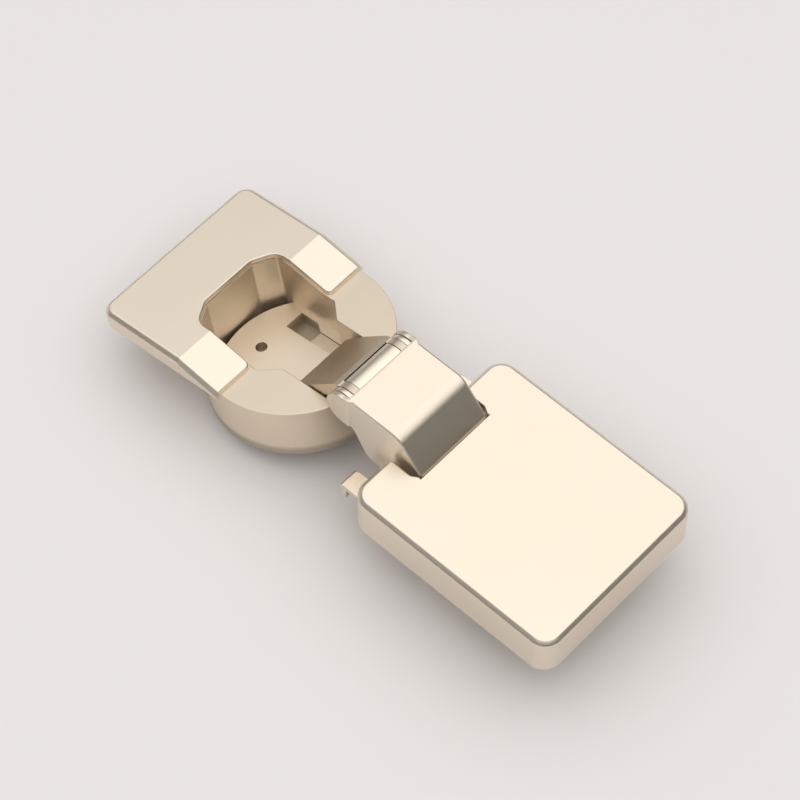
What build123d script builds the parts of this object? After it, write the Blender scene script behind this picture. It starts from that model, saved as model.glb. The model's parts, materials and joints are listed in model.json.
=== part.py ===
"""Concealed cabinet hinge, open pose, millimetres."""
import os
from math import cos, radians, sin, tan

from build123d import *

# Frame: the origin lies on the cabinet panel's face, midway between the plate's screw holes.
# +X runs into the cabinet, +Y along the hinge's axes and +Z away from the panel.

# Cabinet side
panel_edge_x = -37.0
plate_screw_spacing = 32.0
plate_screw_radius = 3.2
sheet = 1.2
gap = 0.3
running = 0.05

# Plate cover
cover_front = 4.9
cover_length = 50.3
cover_width = 43.3
cover_height = 10.0
cover_wall = 1.2
cover_corner = 4.0
cover_edge = 0.9
notch_front_half = 10.6
notch_back_half = 9.7
notch_straight = 5.8

# Base plate
tab_inner = 12.95
tab_outer = 17.25
tab_reach = 1.7
lip_depth = 2.6
rail_height = 4.6
plate_front = 9.0
plate_back = cover_front + cover_length - cover_wall - 4.0
plate_half = cover_width / 2 - cover_wall - 1.15
plate_notch_half = notch_front_half + cover_wall + gap
plate_notch_back = 16.2

# Arm
arm_half = 9.5
arm_roof = 17.13
arm_rear_roof = 7.2
arm_slant = 50.0
slant_foot = 12.31
arm_bend = 3.9
roof_front = -6.1
cheek_foot = 1.5
arm_back = plate_back - 2.0
eye_radius = 4.2
eye_inner = arm_half - 0.7
eye_outer = eye_inner + sheet
arm_edge = 0.4
jog_front = -6.4
jog_back = -5.7
rail_half = arm_half - 0.4 - gap - 2 * sheet

# Pivots of the four-bar linkage, x from the panel's front edge, z from its face
front_pivot = (-7.68, 12.53)
rear_pivot = (1.4, 7.0)
cup_outer_pivot = (-19.45, 0.4)
cup_inner_pivot = (-15.9, 4.4)
front_pin_radius = 1.5
rear_pin_radius = 1.2
cup_pin_radius = 1.15

# Outer link
ring_width = 1.05
link_half = eye_inner - ring_width - 0.2
sleeve_half = 5.9
barrel_radius = 4.1
slot_gap = 0.22
link_top = (-11.0, 15.35)
link_bend = (-12.3, 14.45)
link_far = (-22.5, 3.2)
link_far_half = 6.2

# Inner link: its slotted eye lets the rear pin wander while the linkage folds
inner_half = 4.5
inner_thickness = 1.5
inner_bulge = 1.4
slot_travel_along = 2.77
slot_travel_up = 1.78
slot_wall = 1.3

# Cup, in the door's plane: u towards the cup's front, w out of the door
door_tilt = 9.84
cup_centre = (-29.6, 5.14)
cup_radius = 19.7
rim_radius = 20.05
rim_thickness = 0.5
taper_radius = 19.9
taper_depth = 3.0
cup_depth = 13.8
floor_depth = 10.3
pocket_depth = 12.6
floor_radius = 17.6
well_back = -18.2
well_back_half = 6.4
well_side = 11.1
well_shoulder = -15.6
mouth_start = -0.1
mouth_end = 3.8
mouth_half = 7.75
front_cut_depth = 4.2
collar = 1.1
link_pocket_back = 4.6
link_pocket_front = 16.8
floor_holes = ((-10.7, -1.3), (5.4, -1.3))
floor_hole_radius = 1.25
floor_hole_depth = 2.2
back_corner = 1.5
side_corner = 3.2
wall_corner = 0.9
mouth_corner = 1.0
lug_back = -31.5
lug_half = 15.0
cup_screw_u = -26.0
cup_screw_spacing = 18.0
cup_screw_radius = 2.2

# Cup cover
cup_cover_height = 3.75
cup_cover_back = -34.3
cup_cover_half = 21.0
cup_cover_corner = 3.0
facet_start = -12.0
arm_tip = -1.6
tip_height = 0.9
cup_cover_skin = 1.3
cut_margin = 0.22
tip_inner_corner = 1.2

# Damper
slider_inner = 5.7
slider_outer = 8.9
slider_front = 4.2
slider_back = -3.8
slider_travel = 6.0
pocket_back = slider_back - slider_travel - 0.6
slider_depth = 2.1
recess_depth = 2.9
recess_side = slider_outer + 1.3
groove_front = link_pocket_back + 0.5
chamber_top = 0.7
chamber_height = 2.3
chamber_side = 0.1
damper_y = 1.3
damper_radius = 1.1
damper_back = -15.4
damper_mouth = -7.0
damper_rod_radius = 0.45
piston_radius = 0.7
foot_length = 1.8


def at(point):
    """Row coordinates of a point given from the panel's front edge."""
    return (panel_edge_x + point[0], point[1])


def side_plane(y):
    """Plane at y, seen from the front: sketch x is X, sketch y is Z, extruding towards -Y."""
    return Plane.XZ.offset(-y)


def door_plane(w):
    """Plane parallel to the door's face, w above the cup's rim: sketch x is u, sketch y is Y."""
    tilt = radians(door_tilt)
    x, z = at(cup_centre)
    plane = Plane(origin=(x, 0, z), x_dir=(cos(tilt), 0, sin(tilt)), z_dir=(-sin(tilt), 0, cos(tilt)))
    return plane.offset(w)


def finish(builder, name):
    """Label a finished piece and write its file."""
    builder.part.label = name
    export_step(builder.part, f"parts/{name}.step")


os.makedirs("parts", exist_ok=True)

edge = panel_edge_x
front_x, front_z = at(front_pivot)
rear_x, rear_z = at(rear_pivot)
outer_x, outer_z = at(cup_outer_pivot)
inner_x, inner_z = at(cup_inner_pivot)

# Rails, screws and cam under the plate cover
rail_front = edge + plate_notch_back + 0.4
rail_back = edge + plate_back - 2.5
carrier_overhang = 0.6
cam_from_back = 8.0
clamp_from_cam = 13.0
side_from_clamp = 9.0
cam_x = edge + plate_back - cam_from_back
clamp_screw_x = cam_x - clamp_from_cam
side_screw_x = clamp_screw_x - side_from_clamp
depth_travel = 2.0
cam_swing = 60
cam_throw = depth_travel / sin(radians(cam_swing))
cam_boss_radius = 1.4
cam_slot_width = 2 * (cam_boss_radius + gap)
cam_neck = 2.2
screw_neck = 1.5
roof_sheet_top = arm_rear_roof
carrier_top = arm_rear_roof - sheet
carrier_under = carrier_top - sheet
clamp_radius = 2.0
clamp_boss_radius = 3.9
head_gap = 0.02
foot_gap = 0.1

# Base plate: sheet with two stop tabs folded over the panel's edge, and two rails
with BuildPart() as base_plate:
    with BuildSketch(Plane.XY):
        with Locations((edge + (plate_front + plate_back) / 2, 0)):
            RectangleRounded(plate_back - plate_front, 2 * plate_half, 2.0)
        for side in (-1, 1):
            with Locations((edge + (plate_front + 3 - tab_reach) / 2, side * (tab_inner + tab_outer) / 2)):
                Rectangle(plate_front + 3 + tab_reach, tab_outer - tab_inner)
        with Locations((edge + (plate_front + plate_notch_back) / 2, 0)):
            Rectangle(plate_notch_back - plate_front, 2 * plate_notch_half, mode=Mode.SUBTRACT)
    extrude(amount=sheet)
    for side in (-1, 1):
        with BuildSketch(Plane.XY.offset(sheet)):
            with Locations((edge - tab_reach / 2 - 0.05, side * (tab_inner + tab_outer) / 2)):
                Rectangle(tab_reach - 0.1, tab_outer - tab_inner)
        extrude(amount=-(sheet + lip_depth))
        with BuildSketch(Plane.XY.offset(sheet)):
            with Locations(((rail_front + rail_back) / 2, side * (rail_half - sheet / 2))):
                Rectangle(rail_back - rail_front, sheet)
        extrude(amount=rail_height - sheet)
    fillet(base_plate.edges().filter_by(Axis.Y).group_by(Axis.X)[0].sort_by(Axis.Z)[-2:], 0.7)
    with BuildSketch(Plane.XY.offset(sheet)):
        with Locations((clamp_screw_x, 0)):
            Circle(clamp_boss_radius)
    extrude(amount=rail_height - sheet)
    with Locations((clamp_screw_x, 0, rail_height)):
        Hole(clamp_radius + running)
    with GridLocations(0, plate_screw_spacing, 1, 2):
        Hole(plate_screw_radius)
    with BuildSketch(Plane.XY):
        with Locations((cam_x, 0.75 * cam_throw)):
            SlotOverall(cam_throw / 2 + cam_slot_width + 0.2, cam_slot_width, rotation=90)
    extrude(amount=sheet, mode=Mode.SUBTRACT)
finish(base_plate, "base_plate")

# Carrier: channel that slides on the rails
carrier_half = rail_half + gap + sheet
carrier_front = rail_front - carrier_overhang
carrier_back = rail_back
with BuildPart() as carrier:
    with BuildSketch(Plane.XY.offset(sheet + gap)):
        with Locations(((carrier_front + carrier_back) / 2, 0)):
            Rectangle(carrier_back - carrier_front, 2 * carrier_half)
    extrude(amount=carrier_top - sheet - gap)
    chamfer(carrier.edges().filter_by(Axis.X).group_by(Axis.Z)[-1], 0.5)
    with BuildSketch(Plane.XY.offset(sheet + gap)):
        with Locations(((carrier_front + carrier_back) / 2, 0)):
            Rectangle(carrier_back - carrier_front, 2 * (carrier_half - sheet))
    extrude(amount=carrier_top - 2 * sheet - gap, mode=Mode.SUBTRACT)
    with Locations((side_screw_x, 0, carrier_top)):
        Hole(screw_neck + running)
    with Locations((cam_x, 0, carrier_top)):
        Hole(cam_neck + running)
    with BuildSketch(Plane.XY.offset(carrier_top)):
        with Locations((clamp_screw_x, 0)):
            SlotCenterToCenter(2 * depth_travel, 2 * (clamp_radius + gap))
    extrude(amount=-2 * sheet, mode=Mode.SUBTRACT)
finish(carrier, "carrier")


# Side screw: threaded in the arm's roof, its neck held in the carrier
side_screw_radius = 2.5
side_screw_top = roof_sheet_top + 1.1
side_foot_radius = 2.4
side_foot = 0.8
side_cross = (3.4, 0.7, 1.2)
with BuildPart() as side_screw:
    with BuildSketch(Plane(origin=(side_screw_x, 0, 0), x_dir=(1, 0, 0), z_dir=(0, -1, 0))):
        with BuildLine():
            Polyline(
                (0, carrier_under - foot_gap - side_foot),
                (side_foot_radius, carrier_under - foot_gap - side_foot),
                (side_foot_radius, carrier_under - foot_gap),
                (screw_neck, carrier_under - foot_gap), (screw_neck, carrier_top + head_gap),
                (side_screw_radius, carrier_top + head_gap), (side_screw_radius, side_screw_top),
                (0, side_screw_top),
                close=True,
            )
        make_face()
    revolve(axis=Axis((side_screw_x, 0, 0), (0, 0, 1)))
    for turn in (0, 90):
        with BuildSketch(Plane.XY.offset(side_screw_top)):
            with Locations((side_screw_x, 0)):
                Rectangle(side_cross[0], side_cross[1], rotation=turn)
        extrude(amount=-side_cross[2], mode=Mode.SUBTRACT)
finish(side_screw, "side_screw")

# Clamp screw: threaded in the plate's boss, its head over the arm's roof
clamp_head = 1.1
clamp_head_radius = 1.8 * clamp_radius
clamp_seat = roof_sheet_top + foot_gap
clamp_cross = (4.6, 0.8, 0.8)
with BuildPart() as clamp_screw:
    with BuildSketch(Plane.XY.offset(gap)):
        with Locations((clamp_screw_x, 0)):
            Circle(clamp_radius)
    extrude(amount=clamp_seat - gap)
    with BuildSketch(Plane.XY.offset(clamp_seat)):
        with Locations((clamp_screw_x, 0)):
            Circle(clamp_head_radius)
    extrude(amount=clamp_head)
    for turn in (0, 90):
        with BuildSketch(Plane.XY.offset(clamp_seat + clamp_head)):
            with Locations((clamp_screw_x, 0)):
                Rectangle(clamp_cross[0], clamp_cross[1], rotation=turn)
        extrude(amount=-clamp_cross[2], mode=Mode.SUBTRACT)
finish(clamp_screw, "clamp_screw")

# Depth cam: head on the roof, disc under the carrier, eccentric boss in the plate's cross slot
cam_disc = cam_throw + cam_boss_radius + 0.2
cam_top = roof_sheet_top + 1.2
cam_slot = (5.2, 0.9, 0.8)
with BuildPart() as depth_cam:
    with BuildSketch(Plane(origin=(cam_x, 0, 0), x_dir=(1, 0, 0), z_dir=(0, -1, 0))):
        with BuildLine():
            Polyline(
                (0, sheet + gap), (cam_disc, sheet + gap), (cam_disc, carrier_under - foot_gap),
                (cam_neck, carrier_under - foot_gap), (cam_neck, roof_sheet_top + head_gap),
                (cam_disc, roof_sheet_top + head_gap), (cam_disc, cam_top), (0, cam_top), close=True,
            )
        make_face()
    revolve(axis=Axis((cam_x, 0, 0), (0, 0, 1)))
    with BuildSketch(Plane.XY.offset(foot_gap)):
        with Locations((cam_x, cam_throw)):
            Circle(cam_boss_radius)
    extrude(amount=sheet + gap)
    with BuildSketch(Plane.XY.offset(cam_top)):
        with Locations((cam_x, 0)):
            Rectangle(cam_slot[0], cam_slot[1])
    extrude(amount=-cam_slot[2], mode=Mode.SUBTRACT)
finish(depth_cam, "depth_cam")

# Arm: folded channel with a raised nose, a slanted step and two eyes
slant = tan(radians(arm_slant))
nose_back = slant_foot - (arm_roof - cover_height) / slant
step_foot = slant_foot + (cover_height - arm_rear_roof) / slant


def arm_outline(inset, foot):
    """Closed side outline of the arm, its roof lowered by inset, down to foot."""
    shift = inset / sin(radians(arm_slant)) - inset / slant
    return [
        at((roof_front, arm_roof - inset)), at((nose_back - shift, arm_roof - inset)),
        at((step_foot - shift, arm_rear_roof - inset)), at((arm_back, arm_rear_roof - inset)),
        at((arm_back, foot)), at((-1.6, foot)), at((-5.8, 8.6)),
        at((front_pivot[0], front_pivot[1] - eye_radius)),
        at((front_pivot[0], front_pivot[1] + eye_radius)),
    ]


with BuildPart() as arm:
    with BuildSketch(side_plane(0)) as arm_side:
        with BuildLine():
            Polyline(*arm_outline(0, cheek_foot), close=True)
        make_face()
        nose = arm_side.vertices().filter_by_position(Axis.Y, arm_roof - 0.01, arm_roof + 0.01)
        fillet(nose.sort_by(Axis.X)[-1], arm_bend)
        step = arm_side.vertices().filter_by_position(Axis.Y, arm_rear_roof - 0.01, arm_rear_roof + 0.01)
        fillet(step.sort_by(Axis.X)[0], 1.0)
        foot = arm_side.vertices().filter_by_position(Axis.Y, cheek_foot - 0.01, cheek_foot + 0.01)
        fillet(foot.sort_by(Axis.X)[0], 2.5)
        bay = arm_side.vertices().filter_by_position(Axis.Y, 8.55, 8.65)
        fillet(bay, 2.4)
        with Locations((front_x, front_z)):
            Circle(eye_radius)
    extrude(amount=eye_outer, both=True)
    with BuildSketch(Plane.XY) as arm_top:
        with Locations((edge + arm_back / 2, 0)):
            Rectangle(arm_back + 60, 2 * eye_outer + 4)
        with BuildLine():
            Polyline(
                (edge - 40, -eye_outer), (edge + jog_front, -eye_outer), (edge + jog_back, -arm_half),
                (edge + arm_back + 1, -arm_half), (edge + arm_back + 1, arm_half),
                (edge + jog_back, arm_half), (edge + jog_front, eye_outer), (edge - 40, eye_outer), close=True,
            )
        make_face(mode=Mode.SUBTRACT)
    extrude(amount=arm_roof + 1, mode=Mode.SUBTRACT)
    top_edges = arm.edges().filter_by(Axis.X).group_by(Axis.Z)[-1]
    chamfer(top_edges, arm_edge)
    with BuildSketch(side_plane(0)) as arm_inside:
        with BuildLine():
            Polyline(*arm_outline(sheet, cheek_foot - 1)[:5], (front_x - 6, cheek_foot - 1),
                     (front_x - 6, arm_roof - sheet), close=True)
        make_face()
        roof_under = arm_roof - sheet
        under = arm_inside.vertices().filter_by_position(Axis.Y, roof_under - 0.01, roof_under + 0.01)
        fillet(under.sort_by(Axis.X)[-1], arm_bend - sheet)
    extrude(amount=arm_half - sheet, both=True, mode=Mode.SUBTRACT)
    with BuildSketch(side_plane(0)):
        with Locations((front_x, front_z)):
            Circle(eye_radius + gap)
    extrude(amount=eye_inner, both=True, mode=Mode.SUBTRACT)
    with BuildSketch(side_plane(0)):
        with Locations((front_x, front_z)):
            Circle(front_pin_radius + running)
    extrude(amount=eye_outer - 0.6, both=True, mode=Mode.SUBTRACT)
    with BuildSketch(side_plane(0)):
        with Locations((rear_x, rear_z)):
            Circle(rear_pin_radius + running)
    extrude(amount=arm_half - 0.4, both=True, mode=Mode.SUBTRACT)
    with BuildSketch(Plane.XY.offset(arm_rear_roof)):
        with Locations((clamp_screw_x, 0)):
            SlotCenterToCenter(2 * depth_travel, 2 * (clamp_radius + gap))
        with Locations((side_screw_x, 0)):
            Circle(side_screw_radius + running)
        with Locations((cam_x, 0)):
            Circle(cam_neck + running)
    extrude(amount=-2 * sheet, mode=Mode.SUBTRACT)
finish(arm, "arm")

# Plate cover: shell clipped over the plate, its notch following the arm's step
cover_back = cover_front + cover_length
cover_mid = edge + (cover_front + cover_back) / 2
with BuildPart() as plate_cover:
    with BuildSketch(Plane.XY):
        with Locations((cover_mid, 0)):
            RectangleRounded(cover_length, cover_width, cover_corner)
    extrude(amount=cover_height)
    chamfer(plate_cover.faces().sort_by(Axis.Z)[-1].edges(), cover_edge)
    with BuildSketch(Plane.XY):
        with Locations((cover_mid, 0)):
            RectangleRounded(
                cover_length - 2 * cover_wall, cover_width - 2 * cover_wall, cover_corner - cover_wall,
            )
        with Locations((edge + (slant_foot + cover_wall) / 2, 0)):
            Rectangle(slant_foot + cover_wall, 2 * (notch_front_half + cover_wall), mode=Mode.SUBTRACT)
    extrude(amount=cover_height - cover_wall, mode=Mode.SUBTRACT)
    with BuildSketch(Plane.XY):
        with BuildLine():
            Polyline(
                (edge, -notch_front_half), (edge + cover_front + notch_straight, -notch_front_half),
                (edge + slant_foot, -notch_back_half), (edge + slant_foot, notch_back_half),
                (edge + cover_front + notch_straight, notch_front_half), (edge, notch_front_half), close=True,
            )
        make_face()
    extrude(amount=cover_height, mode=Mode.SUBTRACT)
    with BuildSketch(side_plane(0)):
        with BuildLine():
            Polyline(
                (edge, cover_height + 5), (edge + slant_foot + gap - 5 / slant, cover_height + 5),
                (edge + slant_foot + gap + cover_height / slant, 0), (edge, 0), close=True,
            )
        make_face()
    extrude(amount=arm_half + gap, both=True, mode=Mode.SUBTRACT)
    with BuildSketch(Plane.XY):
        with Locations((edge + slant_foot, 0)):
            Rectangle(14, 2 * (arm_half + gap))
    extrude(amount=arm_rear_roof + gap, mode=Mode.SUBTRACT)
    for side in (-1, 1):
        with BuildSketch(Plane.XY):
            with Locations((edge + cover_front, side * (tab_inner + tab_outer) / 2)):
                Rectangle(6, tab_outer - tab_inner + 2 * gap)
        extrude(amount=sheet + gap, mode=Mode.SUBTRACT)
finish(plate_cover, "plate_cover")


def pin(name, x, z, radius, half):
    """Round pin along Y."""
    with BuildPart() as piece:
        with BuildSketch(side_plane(0)):
            with Locations((x, z)):
                Circle(radius)
        extrude(amount=half, both=True)
    finish(piece, name)


pin("front_pin", front_x, front_z, front_pin_radius, eye_outer - 0.7)
pin("rear_pin", rear_x, rear_z, rear_pin_radius, arm_half - 0.5)
pin_half = mouth_half + 2.0
pin("outer_cup_pin", outer_x, outer_z, cup_pin_radius, pin_half)
pin("inner_cup_pin", inner_x, inner_z, cup_pin_radius, pin_half)


def ring(name, near, far, radius):
    """Ring on the front pin from y = near to y = far."""
    with BuildPart() as piece:
        with BuildSketch(side_plane(far)):
            with Locations((front_x, front_z)):
                Circle(radius)
                Circle(front_pin_radius + running, mode=Mode.SUBTRACT)
        extrude(amount=far - near)
    finish(piece, name)


ring_near = eye_inner - ring_width - 0.1
ring("eye_ring_left", -(ring_near + ring_width), -ring_near, barrel_radius)
ring("eye_ring_right", ring_near, ring_near + ring_width, barrel_radius)
ring("front_sleeve", -sleeve_half, sleeve_half, barrel_radius)

# Outer link: bent plate with two side ears, hooked round the inner cup pin's path
link_axis = Vector(front_x - outer_x, 0, front_z - outer_z).normalized()
link_left = Vector(-link_axis.Z, 0, link_axis.X)


def link_point(along, left):
    """Point in the side view, from the outer cup pin along the link and out to its left."""
    spot = Vector(outer_x, 0, outer_z) + link_axis * along + link_left * left
    return (spot.X, spot.Z)


ear_outline = [
    at(link_top), at(link_bend), at(link_far), link_point(-1.0, 2.9), link_point(-2.6, 0.6),
    link_point(-0.5, -2.4), link_point(2.0, -1.6), link_point(3.3, 1.9),
    link_point(11.0, 1.9), (front_x, front_z - barrel_radius), (front_x + 2.0, front_z),
]
ear_inner = sleeve_half + 0.08
link_cut = 5.5
link_face = Plane(origin=(outer_x, 0, outer_z), x_dir=link_axis, z_dir=link_left)
with BuildPart() as outer_link:
    with BuildSketch(side_plane(0)):
        with BuildLine():
            Polyline(*ear_outline, close=True)
        make_face()
        with Locations((front_x, front_z)):
            Circle(barrel_radius)
        with Locations((outer_x, outer_z)):
            Circle(2.7)
    extrude(amount=link_half, both=True)
    with BuildSketch(side_plane(0)):
        with Locations((front_x, front_z)):
            Circle(barrel_radius + slot_gap)
        with BuildLine():
            Polyline(
                link_point(-6, 4.0 - sheet), link_point(8.0, 4.0 - sheet), link_point(14.5, 4.0 - sheet),
                link_point(22, 4.0 - sheet), link_point(22, -8), link_point(-6, -8), close=True,
            )
        make_face()
    extrude(amount=ear_inner, both=True, mode=Mode.SUBTRACT)
    with BuildSketch(side_plane(0)):
        with Locations((front_x, front_z)):
            Circle(front_pin_radius + running)
        with Locations((outer_x, outer_z)):
            Circle(cup_pin_radius + running)
    extrude(amount=link_half, both=True, mode=Mode.SUBTRACT)
    with BuildSketch(link_face):
        with BuildLine():
            Polyline(
                (-4, link_far_half), (link_cut, link_half), (link_cut, link_half + 3), (-4, link_half + 3),
                close=True,
            )
        make_face()
        mirror(about=Plane.XZ)
    extrude(amount=8, both=True, mode=Mode.SUBTRACT)
finish(outer_link, "outer_link")

# Inner link: arched band with a round eye in the cup and a slotted eye on the rear pin
band = Vector(rear_x - inner_x, 0, rear_z - inner_z)
band_length = band.length
band_along = band.normalized()
band_up = Vector(-band_along.Z, 0, band_along.X)


def band_point(along, up):
    """Point in the side view, from the inner cup pin along the link and up from it."""
    spot = Vector(inner_x, 0, inner_z) + band_along * along + band_up * up
    return (spot.X, spot.Z)


slot_radius = rear_pin_radius + gap
slot_length = slot_travel_along + 2 * slot_radius
slot_height = slot_travel_up + 2 * slot_radius
band_tilt = 90 - Vector(0, 0, 1).get_angle(band)
slot_middle = band_point(band_length - slot_travel_along / 2, slot_travel_up / 2)
eye_wall = 1.05
half_band = inner_thickness / 2
with BuildPart() as inner_link:
    with BuildSketch(side_plane(0)):
        with Locations((inner_x, inner_z)):
            Circle(cup_pin_radius + eye_wall)
        with Locations(slot_middle):
            RectangleRounded(
                slot_length + 2 * slot_wall, slot_height + 2 * slot_wall, slot_radius + 0.9 * slot_wall,
                rotation=band_tilt,
            )
        with BuildLine():
            upper = ThreePointArc(
                band_point(0, half_band), band_point(band_length / 2, inner_bulge + half_band),
                band_point(band_length, half_band),
            )
            tail = Line(upper @ 1, band_point(band_length, -half_band))
            lower = ThreePointArc(
                tail @ 1, band_point(band_length / 2, inner_bulge - half_band), band_point(0, -half_band),
            )
            Line(lower @ 1, upper @ 0)
        make_face()
        with Locations((inner_x, inner_z)):
            Circle(cup_pin_radius + running, mode=Mode.SUBTRACT)
        with Locations(slot_middle):
            RectangleRounded(
                slot_length, slot_height, slot_radius - 0.05, rotation=band_tilt, mode=Mode.SUBTRACT,
            )
    extrude(amount=inner_half, both=True)
finish(inner_link, "inner_link")

# Closing spring: strip rolled round the outer cup pin, its free end left as a short tail
spring_strip = 0.8
spring_inner = cup_pin_radius + gap
spring_outer = spring_inner + spring_strip
spring_half = 4.8
spring_start = 200
spring_end = 265
spring_tail = 1.2


def spring_point(radius, angle, ahead=0.0):
    """Point in the side view round the outer cup pin, moved ahead along the tangent."""
    turn = radians(angle)
    spot_x = outer_x + radius * cos(turn) - ahead * sin(turn)
    return (spot_x, outer_z + radius * sin(turn) + ahead * cos(turn))


with BuildPart() as closing_spring:
    with BuildSketch(side_plane(0)):
        with Locations((outer_x, outer_z)):
            Circle(spring_outer)
            Circle(spring_inner, mode=Mode.SUBTRACT)
        with BuildLine():
            Polyline(
                (outer_x, outer_z), spring_point(2 * spring_outer, spring_start),
                spring_point(2 * spring_outer, spring_end), close=True,
            )
        make_face(mode=Mode.SUBTRACT)
        with BuildLine():
            Polyline(
                spring_point(spring_inner, spring_start), spring_point(spring_outer, spring_start),
                spring_point(spring_outer, spring_start, spring_tail),
                spring_point(spring_inner, spring_start, spring_tail), close=True,
            )
        make_face()
    extrude(amount=spring_half, both=True)
finish(closing_spring, "closing_spring")


def well_outline(grow):
    """Outline of the cup's well, its walls moved out by grow."""
    back = well_back - grow
    side = well_side + grow
    front = mouth_end + grow
    mouth = mouth_half + grow
    half = [
        (back, well_back_half + grow / 2), (well_shoulder - grow / 2, side), (mouth_start + grow / 2, side),
        (front, mouth),
    ]
    return half + [(u, -y) for u, y in reversed(half)]


def round_corners(sketch, u, radius):
    """Round the corners of a sketch that lie at u."""
    fillet(sketch.vertices().filter_by_position(Axis.X, u - 0.01, u + 0.01), radius)


def cover_sketch(sketch, inset):
    """Outer outline of the cup cover, moved in by inset."""
    length = arm_tip - cup_cover_back - 2 * inset
    with Locations(((arm_tip + cup_cover_back) / 2, 0)):
        Rectangle(length, 2 * (cup_cover_half - inset))
    round_corners(sketch, cup_cover_back + inset, cup_cover_corner - inset)


collar_front = arm_tip - cup_cover_skin - gap
under_skin = cup_cover_skin + 0.05
door_up = Axis(door_plane(0).origin, door_plane(0).z_dir)
facet_drop = (cup_cover_height - tip_height) / (arm_tip - facet_start)
facet_end = arm_tip + 8
door_side = Plane(origin=door_plane(0).origin, x_dir=door_plane(0).x_dir, z_dir=(0, -1, 0))


def facet_wedge(drop):
    """Side outline of the space above the cover's sloping arms, lowered by drop."""
    top = cup_cover_height - drop
    low = top - facet_drop * (facet_end - facet_start)
    return [(facet_start, top), (facet_end, low), (facet_end, top + 12), (facet_start, top + 12)]


# Cup: cast in one piece with its rim, its collar under the cover and its rear lug
with BuildPart() as cup:
    with BuildSketch(door_plane(-rim_thickness)):
        with BuildLine():
            Polyline(*well_outline(collar), close=True)
        make_face()
        with Locations((collar_front + 20, 0)):
            Rectangle(40, 2 * cup_radius, mode=Mode.SUBTRACT)
        with Locations(((lug_back + well_back) / 2, 0)):
            RectangleRounded(well_back - lug_back, 2 * lug_half, 2.0)
    extrude(amount=rim_thickness + cup_cover_height - under_skin)
    with BuildSketch(door_side):
        with BuildLine():
            Polyline(*facet_wedge(under_skin), close=True)
        make_face()
    extrude(amount=cup_cover_half + 2, both=True, mode=Mode.SUBTRACT)
    with BuildSketch(door_plane(-rim_thickness)):
        Circle(rim_radius)
    extrude(amount=rim_thickness)
    with BuildSketch(door_plane(-rim_thickness)):
        Circle(taper_radius)
    with BuildSketch(door_plane(-taper_depth)):
        Circle(cup_radius)
    loft()
    with BuildSketch(door_plane(-cup_depth)):
        Circle(cup_radius)
    extrude(amount=cup_depth - taper_depth)
    chamfer(cup.faces().sort_by(door_up)[0].edges(), 1.0)
    with BuildSketch(door_plane(-floor_depth)) as well:
        with BuildLine():
            Polyline(*well_outline(0), close=True)
        make_face()
        with Locations(((mouth_end - 1 + link_pocket_front) / 2, 0)):
            Rectangle(link_pocket_front - mouth_end + 1, 2 * mouth_half)
        round_corners(well, well_back, wall_corner)
        round_corners(well, well_shoulder, wall_corner)
        round_corners(well, mouth_start, mouth_corner)
        round_corners(well, mouth_end, mouth_corner)
    extrude(amount=floor_depth + cup_cover_height, mode=Mode.SUBTRACT)
    with BuildSketch(door_plane(-pocket_depth)):
        with Locations(((link_pocket_back + link_pocket_front) / 2, 0)):
            RectangleRounded(link_pocket_front - link_pocket_back, 2 * mouth_half, 1.5)
    extrude(amount=pocket_depth, mode=Mode.SUBTRACT)
    with BuildSketch(door_plane(-front_cut_depth)):
        with Locations((link_pocket_back + 12, 0)):
            Rectangle(24, 2 * mouth_half)
    extrude(amount=front_cut_depth, mode=Mode.SUBTRACT)
    with BuildSketch(door_plane(-floor_depth)):
        with BuildLine():
            Polyline(*well_outline(0), close=True)
        make_face()
        Circle(floor_radius, mode=Mode.SUBTRACT)
        with Locations((20, 0)):
            Rectangle(58, 60, mode=Mode.SUBTRACT)
    extrude(amount=floor_depth - cup_depth, mode=Mode.SUBTRACT)
    with BuildSketch(door_plane(-floor_depth)):
        with Locations(*floor_holes):
            Circle(floor_hole_radius)
    extrude(amount=-floor_hole_depth, mode=Mode.SUBTRACT)
    with BuildSketch(door_plane(-floor_depth)):
        with BuildLine():
            Polyline(
                (pocket_back, slider_inner), (pocket_back, recess_side), (slider_back - 2.0, recess_side),
                (slider_back, slider_outer), (groove_front, slider_outer), (groove_front, slider_inner),
                close=True,
            )
        make_face()
    extrude(amount=-slider_depth, mode=Mode.SUBTRACT)
    with BuildSketch(door_plane(-floor_depth)):
        with BuildLine():
            Polyline(
                (pocket_back, slider_inner), (pocket_back, recess_side), (slider_back - 2.0, recess_side),
                (slider_back - gap, slider_outer), (slider_back - gap, slider_inner), close=True,
            )
        make_face()
    extrude(amount=-recess_depth, mode=Mode.SUBTRACT)
    with BuildSketch(door_plane(-floor_depth - chamber_top)):
        with Locations(((damper_back - gap + groove_front) / 2, (chamber_side + slider_inner + 0.2) / 2)):
            Rectangle(groove_front - damper_back + gap, slider_inner + 0.2 - chamber_side)
    extrude(amount=-chamber_height, mode=Mode.SUBTRACT)
    for x, z in ((outer_x, outer_z), (inner_x, inner_z)):
        with BuildSketch(side_plane(0)):
            with Locations((x, z)):
                Circle(cup_pin_radius + running)
        extrude(amount=pin_half + 0.05, both=True, mode=Mode.SUBTRACT)
    with BuildSketch(door_plane(cup_cover_height)):
        with Locations((cup_screw_u, 0)):
            with GridLocations(0, cup_screw_spacing, 1, 2):
                Circle(cup_screw_radius)
    extrude(amount=-2 * cup_cover_height, mode=Mode.SUBTRACT)
finish(cup, "cup")

# Cup cover: shell with two sloping arms round the well
opening_half = well_outline(cut_margin)[:2] + [(arm_tip + 1, well_side + cut_margin)]
opening_outline = opening_half + [(u, -y) for u, y in reversed(opening_half)]
door_frame = door_plane(0)


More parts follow.
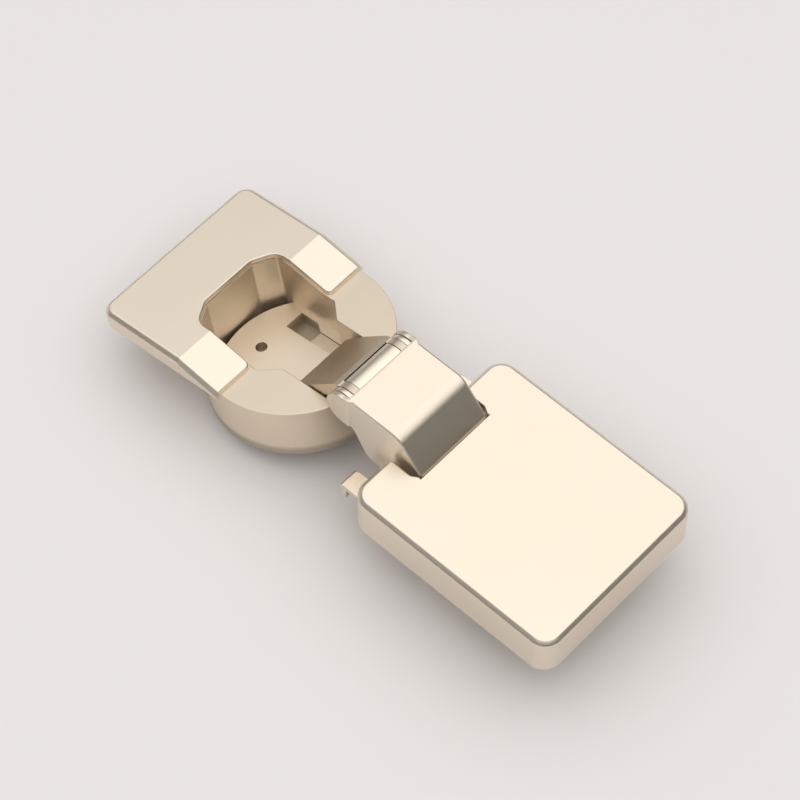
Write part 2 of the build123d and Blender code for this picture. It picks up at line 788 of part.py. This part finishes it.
def outer_top(line):
    """Whether an edge of the cup cover runs along the top of its back or sides."""
    place = door_frame.to_local_coords(line.center())
    upright = abs(line.tangent_at(0.5).dot(door_frame.z_dir)) > 0.9
    outside = abs(place.Y) > cup_cover_half - 1 or place.X < cup_cover_back + 1
    return place.Z > 0.2 and outside and not upright


with BuildPart() as cover_space:
    with BuildSketch(door_plane(-rim_thickness)) as space_outline:
        cover_sketch(space_outline, cover_wall)
    extrude(amount=rim_thickness + cup_cover_height - cup_cover_skin)
    with BuildSketch(door_side):
        with BuildLine():
            Polyline(*facet_wedge(cup_cover_skin), close=True)
        make_face()
    extrude(amount=cup_cover_half + 2, both=True, mode=Mode.SUBTRACT)
with BuildPart() as cup_cover:
    with BuildSketch(door_plane(-rim_thickness)) as cover_base:
        cover_sketch(cover_base, 0)
    extrude(amount=rim_thickness + cup_cover_height)
    with BuildSketch(door_side):
        with BuildLine():
            Polyline(*facet_wedge(0), close=True)
        make_face()
    extrude(amount=cup_cover_half + 2, both=True, mode=Mode.SUBTRACT)
    chamfer([line for line in cup_cover.edges() if outer_top(line)], cover_edge)
    add(cover_space.part, mode=Mode.SUBTRACT)
    with BuildSketch(door_plane(-rim_thickness)) as opening:
        with BuildLine():
            Polyline(*opening_outline, close=True)
        make_face()
        with Locations((arm_tip + 3, 0)):
            Rectangle(6, 3 * cup_cover_half)
        round_corners(opening, opening_half[0][0], back_corner + cut_margin)
        round_corners(opening, opening_half[1][0], side_corner + cut_margin)
        tips = opening.vertices().filter_by_position(Axis.X, arm_tip - 0.01, arm_tip + 0.01)
        fillet(tips, tip_inner_corner)
    extrude(amount=rim_thickness + cup_cover_height, mode=Mode.SUBTRACT)
    with BuildSketch(door_plane(-rim_thickness)):
        Circle(rim_radius + gap)
    extrude(amount=rim_thickness + 0.02, mode=Mode.SUBTRACT)
finish(cup_cover, "cup_cover")

# Soft-close damper: sealed housing in the floor's chamber, and the strip and rod that the link pushes
damper_w = -(floor_depth + chamber_top + chamber_height / 2)
damper_plane = Plane(origin=door_plane(damper_w).origin, x_dir=(0, 1, 0), z_dir=door_plane(0).x_dir)
with BuildPart() as damper_housing:
    with BuildSketch(damper_plane.offset(damper_back)):
        with Locations((damper_y, 0)):
            Circle(damper_radius)
    extrude(amount=damper_mouth - damper_back)
    with BuildSketch(damper_plane.offset(damper_back + 0.5)):
        with Locations((damper_y, 0)):
            Circle(piston_radius + running)
    extrude(amount=damper_mouth - damper_back - 1.0, mode=Mode.SUBTRACT)
    with BuildSketch(damper_plane.offset(damper_mouth)):
        with Locations((damper_y, 0)):
            Circle(damper_rod_radius + running)
    extrude(amount=-1.0, mode=Mode.SUBTRACT)
finish(damper_housing, "damper_housing")

rod_seat = slider_front - foot_length + 1.0
with BuildPart() as damper_rod:
    with BuildSketch(damper_plane.offset(rod_seat)):
        with Locations((damper_y, 0)):
            Circle(damper_rod_radius)
    extrude(amount=damper_mouth - 1.2 - rod_seat)
    with BuildSketch(damper_plane.offset(damper_mouth - 1.2)):
        with Locations((damper_y, 0)):
            Circle(piston_radius)
    extrude(amount=0.5)
finish(damper_rod, "damper_rod")

with BuildPart() as damper_slider:
    with BuildSketch(door_plane(-floor_depth - 0.2)):
        with Locations(((slider_back + slider_front) / 2, (slider_inner + slider_outer) / 2)):
            Rectangle(slider_front - slider_back, slider_outer - slider_inner - 2 * running)
    extrude(amount=-(slider_depth - 0.2 - running))
    with BuildSketch(door_plane(damper_w + 0.9)):
        with Locations((slider_front - foot_length / 2, (slider_inner + 0.15 + chamber_side + gap) / 2)):
            Rectangle(foot_length, slider_inner + 0.15 - chamber_side - gap)
    extrude(amount=-1.9)
    with BuildSketch(damper_plane.offset(slider_front - foot_length)):
        with Locations((damper_y, 0)):
            Circle(damper_rod_radius + 0.02)
    extrude(amount=1.0 + 0.02, mode=Mode.SUBTRACT)
finish(damper_slider, "damper_slider")
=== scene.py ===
import json
import math

import bmesh
import bpy
from mathutils import Matrix, Vector


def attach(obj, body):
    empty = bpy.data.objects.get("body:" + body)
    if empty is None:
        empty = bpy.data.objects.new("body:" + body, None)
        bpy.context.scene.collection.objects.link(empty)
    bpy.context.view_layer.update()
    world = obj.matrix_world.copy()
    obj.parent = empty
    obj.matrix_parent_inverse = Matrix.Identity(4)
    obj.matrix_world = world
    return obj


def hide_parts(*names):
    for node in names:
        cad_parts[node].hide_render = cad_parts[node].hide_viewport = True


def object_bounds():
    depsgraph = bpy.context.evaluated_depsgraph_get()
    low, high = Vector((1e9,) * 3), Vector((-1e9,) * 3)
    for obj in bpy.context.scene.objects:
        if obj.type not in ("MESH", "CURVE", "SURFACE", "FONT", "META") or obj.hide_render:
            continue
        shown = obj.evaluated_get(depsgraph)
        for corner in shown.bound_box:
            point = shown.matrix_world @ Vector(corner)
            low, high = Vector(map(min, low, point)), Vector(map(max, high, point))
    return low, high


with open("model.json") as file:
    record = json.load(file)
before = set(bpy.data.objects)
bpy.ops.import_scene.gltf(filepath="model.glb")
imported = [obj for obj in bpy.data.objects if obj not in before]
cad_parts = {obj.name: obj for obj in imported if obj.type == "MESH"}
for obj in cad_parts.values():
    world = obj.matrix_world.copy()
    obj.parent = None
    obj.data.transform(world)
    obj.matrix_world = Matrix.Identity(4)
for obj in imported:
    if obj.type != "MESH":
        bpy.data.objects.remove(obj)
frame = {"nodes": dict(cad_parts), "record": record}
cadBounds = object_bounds()
print("frame loaded:", len(frame["nodes"]), "nodes")


# Finishes, one dictionary each. Colours are linear; grain sizes are per metre of the piece.

coverSatin = {
    "colour": (0.82, 0.73, 0.61), "darkColour": (0.80, 0.71, 0.59), "metallic": 1.0,
    "roughness": 0.36, "roughnessSpread": 0.05, "grainScale": 4200.0, "grainHeight": 0.000014,
    "cloudScale": 60.0, "stretch": (1.0, 1.0, 1.0),
}
sheetSatin = {
    "colour": (0.80, 0.71, 0.59), "darkColour": (0.76, 0.67, 0.55), "metallic": 1.0,
    "roughness": 0.31, "roughnessSpread": 0.06, "grainScale": 4200.0, "grainHeight": 0.000005,
    "cloudScale": 80.0, "stretch": (1.0, 0.6, 1.0),
}
castSatin = {
    "colour": (0.80, 0.70, 0.57), "darkColour": (0.77, 0.67, 0.54), "metallic": 1.0,
    "roughness": 0.45, "roughnessSpread": 0.03, "grainScale": 5200.0, "grainHeight": 0.0000025,
    "cloudScale": 90.0, "stretch": (1.0, 1.0, 1.0),
}
linkSatin = {
    "colour": (0.70, 0.60, 0.48), "darkColour": (0.64, 0.54, 0.43), "metallic": 1.0,
    "roughness": 0.40, "roughnessSpread": 0.06, "grainScale": 4200.0, "grainHeight": 0.000006,
    "cloudScale": 120.0, "stretch": (1.0, 0.5, 1.0),
}
sleeveSatin = {
    "colour": (0.88, 0.79, 0.66), "darkColour": (0.85, 0.76, 0.63), "metallic": 1.0,
    "roughness": 0.34, "roughnessSpread": 0.04, "grainScale": 5200.0, "grainHeight": 0.000003,
    "cloudScale": 90.0, "stretch": (1.0, 1.0, 1.0),
}
pinSteel = {
    "colour": (0.62, 0.60, 0.57), "darkColour": (0.56, 0.54, 0.51), "metallic": 1.0,
    "roughness": 0.24, "roughnessSpread": 0.06, "grainScale": 5200.0, "grainHeight": 0.000003,
    "cloudScale": 160.0, "stretch": (1.0, 0.15, 1.0),
}
springSteel = {
    "colour": (0.34, 0.33, 0.32), "darkColour": (0.26, 0.25, 0.24), "metallic": 1.0,
    "roughness": 0.32, "roughnessSpread": 0.08, "grainScale": 5200.0, "grainHeight": 0.000003,
    "cloudScale": 200.0, "stretch": (1.0, 1.0, 1.0),
}
screwZinc = {
    "colour": (0.64, 0.63, 0.60), "darkColour": (0.55, 0.54, 0.51), "metallic": 1.0,
    "roughness": 0.34, "roughnessSpread": 0.08, "grainScale": 4600.0, "grainHeight": 0.000004,
    "cloudScale": 180.0, "stretch": (1.0, 1.0, 1.0),
}
damperPlastic = {
    "colour": (0.55, 0.47, 0.37), "darkColour": (0.50, 0.42, 0.33), "metallic": 0.0,
    "roughness": 0.48, "roughnessSpread": 0.05, "grainScale": 5200.0, "grainHeight": 0.000006,
    "cloudScale": 150.0, "stretch": (1.0, 1.0, 1.0),
}


# What all finishes share: how the noise under the plating is read
plating = {
    "grainDetail": 3.0, "cloudDetail": 2.0, "cloudShare": 0.5,
    "toneRange": (0.35, 0.6), "glossRange": (0.3, 0.7), "bumpStrength": 0.6,
}
mathEntries = {"first": 0, "second": 1, "third": 2}


def linkNodes(tree, source, output, target, entry):
    tree.links.new(source.outputs[output], target.inputs[entry])


def mathNode(tree, operation, **fixed):
    node = tree.nodes.new("ShaderNodeMath")
    node.operation = operation
    for entry, value in fixed.items():
        node.inputs[mathEntries[entry]].default_value = value
    return node


def rangeNode(tree, lowIn, highIn, lowOut, highOut):
    node = tree.nodes.new("ShaderNodeMapRange")
    node.inputs["From Min"].default_value = lowIn
    node.inputs["From Max"].default_value = highIn
    node.inputs["To Min"].default_value = lowOut
    node.inputs["To Max"].default_value = highOut
    return node


def noiseNode(tree, scale, detail):
    node = tree.nodes.new("ShaderNodeTexNoise")
    node.inputs["Scale"].default_value = scale
    node.inputs["Detail"].default_value = detail
    return node


def makeFinish(name, look):
    material = bpy.data.materials.new(name)
    material.use_nodes = True
    tree = material.node_tree
    shader = tree.nodes["Principled BSDF"]
    shader.inputs["Metallic"].default_value = look["metallic"]
    place = tree.nodes.new("ShaderNodeTexCoord")
    mapping = tree.nodes.new("ShaderNodeMapping")
    mapping.inputs["Scale"].default_value = look["stretch"]
    linkNodes(tree, place, "Object", mapping, "Vector")

    grain = noiseNode(tree, look["grainScale"], plating["grainDetail"])  # blasted grain
    linkNodes(tree, mapping, "Vector", grain, "Vector")
    cloud = noiseNode(tree, look["cloudScale"], plating["cloudDetail"])  # slow change of tone
    linkNodes(tree, place, "Object", cloud, "Vector")

    tone = tree.nodes.new("ShaderNodeMix")
    tone.data_type = "RGBA"
    tone.inputs["A"].default_value = (*look["darkColour"], 1.0)
    tone.inputs["B"].default_value = (*look["colour"], 1.0)
    cloudShare = mathNode(tree, "MULTIPLY", second=plating["cloudShare"])
    linkNodes(tree, cloud, "Fac", cloudShare, 0)
    blend = mathNode(tree, "MULTIPLY_ADD", second=1.0 - plating["cloudShare"])
    linkNodes(tree, grain, "Fac", blend, 0)
    linkNodes(tree, cloudShare, "Value", blend, 2)
    amount = rangeNode(tree, *plating["toneRange"], 0.0, 1.0)
    linkNodes(tree, blend, "Value", amount, "Value")
    linkNodes(tree, amount, "Result", tone, "Factor")
    linkNodes(tree, tone, "Result", shader, "Base Color")

    smoothest = look["roughness"] - look["roughnessSpread"]
    roughest = look["roughness"] + look["roughnessSpread"]
    gloss = rangeNode(tree, *plating["glossRange"], smoothest, roughest)
    linkNodes(tree, grain, "Fac", gloss, "Value")
    linkNodes(tree, gloss, "Result", shader, "Roughness")

    bump = tree.nodes.new("ShaderNodeBump")
    bump.inputs["Strength"].default_value = plating["bumpStrength"]
    bump.inputs["Distance"].default_value = look["grainHeight"]
    linkNodes(tree, grain, "Fac", bump, "Height")
    linkNodes(tree, bump, "Normal", shader, "Normal")
    return material


finishes = {
    "coverSatin": makeFinish("cover_satin", coverSatin),
    "sheetSatin": makeFinish("sheet_satin", sheetSatin),
    "castSatin": makeFinish("cast_satin", castSatin),
    "linkSatin": makeFinish("link_satin", linkSatin),
    "sleeveSatin": makeFinish("sleeve_satin", sleeveSatin),
    "pinSteel": makeFinish("pin_steel", pinSteel),
    "springSteel": makeFinish("spring_steel", springSteel),
    "screwZinc": makeFinish("screw_zinc", screwZinc),
    "damperPlastic": makeFinish("damper_plastic", damperPlastic),
}
print("finishes made:", len(finishes))

# The door side is measured from its mount: a point on the door's face and the way out of it
doorMount = [mount for mount in frame["record"]["mounts"] if mount["name"] == "cup_screws"][0]
doorPoint = Vector(doorMount["pos_m"])
doorUp = Vector(doorMount["axis"])

# Painted shade: the casting's colour is darkened deep down in its pockets and its blind mark,
# where shade falls
pocketShade = {"shallow": -0.0104, "deep": -0.0118, "tone": 0.62}


def paintPocketShade(material, pockets):
    tree = material.node_tree
    shader = tree.nodes["Principled BSDF"]
    paint = shader.inputs["Base Color"].links[0].from_socket
    place = tree.nodes.new("ShaderNodeTexCoord")
    depth = tree.nodes.new("ShaderNodeVectorMath")
    depth.operation = "DOT_PRODUCT"
    depth.inputs[1].default_value = doorUp
    linkNodes(tree, place, "Object", depth, 0)
    face = doorPoint.dot(doorUp)
    # Painted shade: below the door face the colour is scaled down, reaching the given tone at the
    # pocket floors
    fade = rangeNode(tree, face + pockets["deep"], face + pockets["shallow"], pockets["tone"], 1.0)
    linkNodes(tree, depth, "Value", fade, "Value")
    darken = tree.nodes.new("ShaderNodeVectorMath")
    darken.operation = "SCALE"
    tree.links.new(paint, darken.inputs[0])
    linkNodes(tree, fade, "Result", darken, "Scale")
    linkNodes(tree, darken, "Vector", shader, "Base Color")


# Painted shade in the cup's pockets
paintPocketShade(finishes["castSatin"], pocketShade)

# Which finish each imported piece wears
worn = {
    "plate_cover": "coverSatin", "cup_cover": "coverSatin", "arm": "coverSatin",
    "base_plate": "sheetSatin", "carrier": "sheetSatin",
    "outer_link": "linkSatin", "inner_link": "linkSatin", "damper_slider": "linkSatin",
    "cup": "castSatin",
    "front_sleeve": "sleeveSatin", "eye_ring_left": "sleeveSatin", "eye_ring_right": "sleeveSatin",
    "front_pin": "pinSteel", "rear_pin": "pinSteel", "outer_cup_pin": "pinSteel",
    "inner_cup_pin": "pinSteel", "damper_rod": "pinSteel",
    "closing_spring": "springSteel",
    "side_screw": "screwZinc", "clamp_screw": "screwZinc", "depth_cam": "screwZinc",
    "damper_housing": "damperPlastic",
}
bodyOf = {
    node: body
    for body, nodes in frame["record"]["behaviour"]["bodies"].items() for node in nodes
}


def wear(piece, finish):
    piece.data.materials.clear()
    piece.data.materials.append(finishes[finish])


for node, finish in worn.items():
    wear(frame["nodes"][node], finish)


# Broken edges: each of these pieces is a copy of its node with its corners rounded.
# "corner" is the least angle that is rounded and "crease" the least that stays a sharp shade,
# both in degrees. "band" is the stretch along "way", in metres, in which corners are rounded.
origin = Vector((0, 0, 0))
doorWay = (doorPoint, doorUp)
plateWay = (origin, Vector((0, 0, 1)))
armWay = (origin, Vector((1, 0, 0)))
wholePiece = (-1.0, 1.0)
eyeRing = {
    "radius": 0.00014, "steps": 2, "corner": 40, "crease": 25,
    "way": plateWay, "band": wholePiece,
}
roundedEdges = {
    "plate_cover": {  # its top edges only
        "radius": 0.00028, "steps": 3, "corner": 28, "crease": 12,
        "way": plateWay, "band": (0.0085, 1.0),
    },
    "cup_cover": {  # all but the edges on the door
        "radius": 0.00026, "steps": 3, "corner": 35, "crease": 8,
        "way": doorWay, "band": (0.0004, 1.0),
    },
    "cup": {  # the rim's top edge
        "radius": 0.0002, "steps": 3, "corner": 28, "crease": 20,
        "way": doorWay, "band": (-0.0001, 0.0001),
    },
    "arm": {
        "radius": 0.00024, "steps": 3, "corner": 28, "crease": 18,
        "way": plateWay, "band": wholePiece,
    },
    "outer_link": {  # its lip is too thin to round, so it is only shaded smoothly
        "radius": 0.0, "steps": 1, "corner": 180, "crease": 8,
        "way": plateWay, "band": wholePiece,
    },
    "inner_link": {
        "radius": 0.0002, "steps": 2, "corner": 30, "crease": 20,
        "way": plateWay, "band": wholePiece,
    },
    "base_plate": {  # its two stop tabs
        "radius": 0.00018, "steps": 2, "corner": 28, "crease": 20,
        "way": armWay, "band": (-1.0, -0.0325),
    },
    "carrier": {
        "radius": 0.0001, "steps": 2, "corner": 28, "crease": 20,
        "way": plateWay, "band": wholePiece,
    },
    "front_sleeve": {
        "radius": 0.00018, "steps": 2, "corner": 40, "crease": 25,
        "way": plateWay, "band": wholePiece,
    },
    "eye_ring_left": eyeRing,
    "eye_ring_right": eyeRing,
    "damper_slider": {
        "radius": 0.00012, "steps": 2, "corner": 30, "crease": 20,
        "way": doorWay, "band": wholePiece,
    },
}
flatAngle = math.radians(0.6)  # loose triangles within this angle are one face
seamDistance = 0.000002


def inBand(edge, way, band):
    start, along = way
    places = [(vert.co - start).dot(along) for vert in edge.verts]
    return band[0] < min(places) and max(places) < band[1]


def foldAngle(edge):
    return edge.calc_face_angle(0.0) if len(edge.link_faces) == 2 else 0.0


def roundPiece(node, edges):
    mesh = frame["nodes"][node].data.copy()
    mesh.name = node + "_rounded"
    shape = bmesh.new()
    shape.from_mesh(mesh)
    bmesh.ops.remove_doubles(shape, verts=shape.verts[:], dist=seamDistance)
    bmesh.ops.dissolve_limit(
        shape, angle_limit=flatAngle, verts=shape.verts[:], edges=shape.edges[:],
    )
    corners = [
        edge for edge in shape.edges
        if foldAngle(edge) > math.radians(edges["corner"])
        and edge.is_convex and inBand(edge, edges["way"], edges["band"])
    ]
    if corners:
        bmesh.ops.bevel(
            shape, geom=corners, offset=edges["radius"], offset_type="OFFSET",
            segments=edges["steps"], profile=0.5, affect="EDGES", clamp_overlap=False,
            material=-1,
        )
    for face in shape.faces:
        face.smooth = True
    for seam in shape.edges:
        if len(seam.link_faces) == 2:
            seam.smooth = foldAngle(seam) < math.radians(edges["crease"])
    shape.to_mesh(mesh)
    shape.free()
    piece = bpy.data.objects.new(node + "_rounded", mesh)
    bpy.context.scene.collection.objects.link(piece)
    even = piece.modifiers.new("evenShading", "WEIGHTED_NORMAL")
    even.keep_sharp = True
    wear(piece, worn[node])
    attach(piece, bodyOf[node])
    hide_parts(node)
    return piece


for node, edges in roundedEdges.items():
    piece = roundPiece(node, edges)
    print("rounded", node, len(piece.data.polygons), "faces")

# Studio: a plain pale floor and a wide soft sky, bright overhead and dim low down.
# A sky step is a height on the sky, from 0 at the horizon to 1 overhead, and its brightness.
studio = {
    "floorSize": 6.0, "floorColour": (0.855, 0.825, 0.815), "floorRoughness": 0.9,
    "floorGap": 0.0002, "skyColour": (1.0, 0.99, 0.975), "horizonColour": (0.83, 0.81, 0.79),
    "sideLift": 0.25,
    "skySteps": (
        (0.0, 0.16), (0.17, 0.03), (0.34, 0.07), (0.52, 0.52), (0.70, 1.16), (0.86, 1.36),
        (1.0, 1.46),
    ),
}

floorMesh = bpy.data.meshes.new("floor")
floorShape = bmesh.new()
bmesh.ops.create_grid(floorShape, x_segments=1, y_segments=1, size=studio["floorSize"] / 2)
floorHeight = cadBounds[0].z - studio["floorGap"]
bmesh.ops.translate(floorShape, verts=floorShape.verts[:], vec=(0, 0, floorHeight))
floorShape.to_mesh(floorMesh)
floorShape.free()
floor = bpy.data.objects.new("floor", floorMesh)
bpy.context.scene.collection.objects.link(floor)
floorMaterial = bpy.data.materials.new("floor_paper")
floorMaterial.use_nodes = True
floorShader = floorMaterial.node_tree.nodes["Principled BSDF"]
floorShader.inputs["Base Color"].default_value = (*studio["floorColour"], 1.0)
floorShader.inputs["Roughness"].default_value = studio["floorRoughness"]
floorMesh.materials.append(floorMaterial)

world = bpy.data.worlds.new("studioSky")
bpy.context.scene.world = world
world.use_nodes = True
sky = world.node_tree
background = sky.nodes["Background"]
direction = sky.nodes.new("ShaderNodeTexCoord")
skyPlace = sky.nodes.new("ShaderNodeSeparateXYZ")
linkNodes(sky, direction, "Generated", skyPlace, "Vector")
brightness = sky.nodes.new("ShaderNodeFloatCurve")
curve = brightness.mapping.curves[0]
brightest = studio["skySteps"][-1][1]
curve.points[0].location = (0.0, studio["skySteps"][0][1] / brightest)
curve.points[1].location = (1.0, 1.0)
for rise, level in studio["skySteps"][1:-1]:
    curve.points.new(rise, level / brightest)
brightness.mapping.update()
linkNodes(sky, skyPlace, "Z", brightness, "Value")

side = mathNode(sky, "MULTIPLY", second=-studio["sideLift"] / brightest)
linkNodes(sky, skyPlace, "X", side, 0)
lift = mathNode(sky, "MAXIMUM", second=0.0)  # the low sky is lighter on the cup's side
linkNodes(sky, side, "Value", lift, 0)
lowSky = mathNode(sky, "SUBTRACT", first=1.0)
lowSky.use_clamp = True
linkNodes(sky, skyPlace, "Z", lowSky, 1)
glow = mathNode(sky, "MULTIPLY_ADD")
linkNodes(sky, lift, "Value", glow, 0)
linkNodes(sky, lowSky, "Value", glow, 1)
linkNodes(sky, brightness, "Value", glow, 2)
strength = mathNode(sky, "MULTIPLY", second=brightest)
linkNodes(sky, glow, "Value", strength, 0)
background.inputs["Color"].default_value = (*studio["skyColour"], 1.0)
linkNodes(sky, strength, "Value", background, "Strength")

horizon = sky.nodes.new("ShaderNodeBackground")  # what the camera sees past the floor's edge
horizon.inputs["Color"].default_value = (*studio["horizonColour"], 1.0)
ray = sky.nodes.new("ShaderNodeLightPath")
choose = sky.nodes.new("ShaderNodeMixShader")
linkNodes(sky, ray, "Is Camera Ray", choose, 0)
linkNodes(sky, background, "Background", choose, 1)
linkNodes(sky, horizon, "Background", choose, 2)
linkNodes(sky, choose, "Shader", sky.nodes["World Output"], "Surface")
print("studio ready")

# Camera at the photograph's angle
camera = {
    "lens": 154.88, "sensor": 36.0, "place": (0.1993, -0.2608, 0.5750),
    "right": (0.73651829, 0.67641487, 0.00193011), "up": (-0.57403, 0.62353, 0.53075),
    "forward": (-0.3578058, 0.3920173, -0.8475243),
}
cameraData = bpy.data.cameras.new("photoCamera")
cameraData.lens = camera["lens"]
cameraData.sensor_width = camera["sensor"]
cameraObject = bpy.data.objects.new("photoCamera", cameraData)
bpy.context.scene.collection.objects.link(cameraObject)
axes = Matrix((camera["right"], camera["up"], -Vector(camera["forward"]))).transposed()
cameraObject.matrix_world = Matrix.Translation(camera["place"]) @ axes.to_4x4()
bpy.context.scene.camera = cameraObject
bpy.context.scene.view_settings.view_transform = "Standard"

bpy.context.view_layer.update()
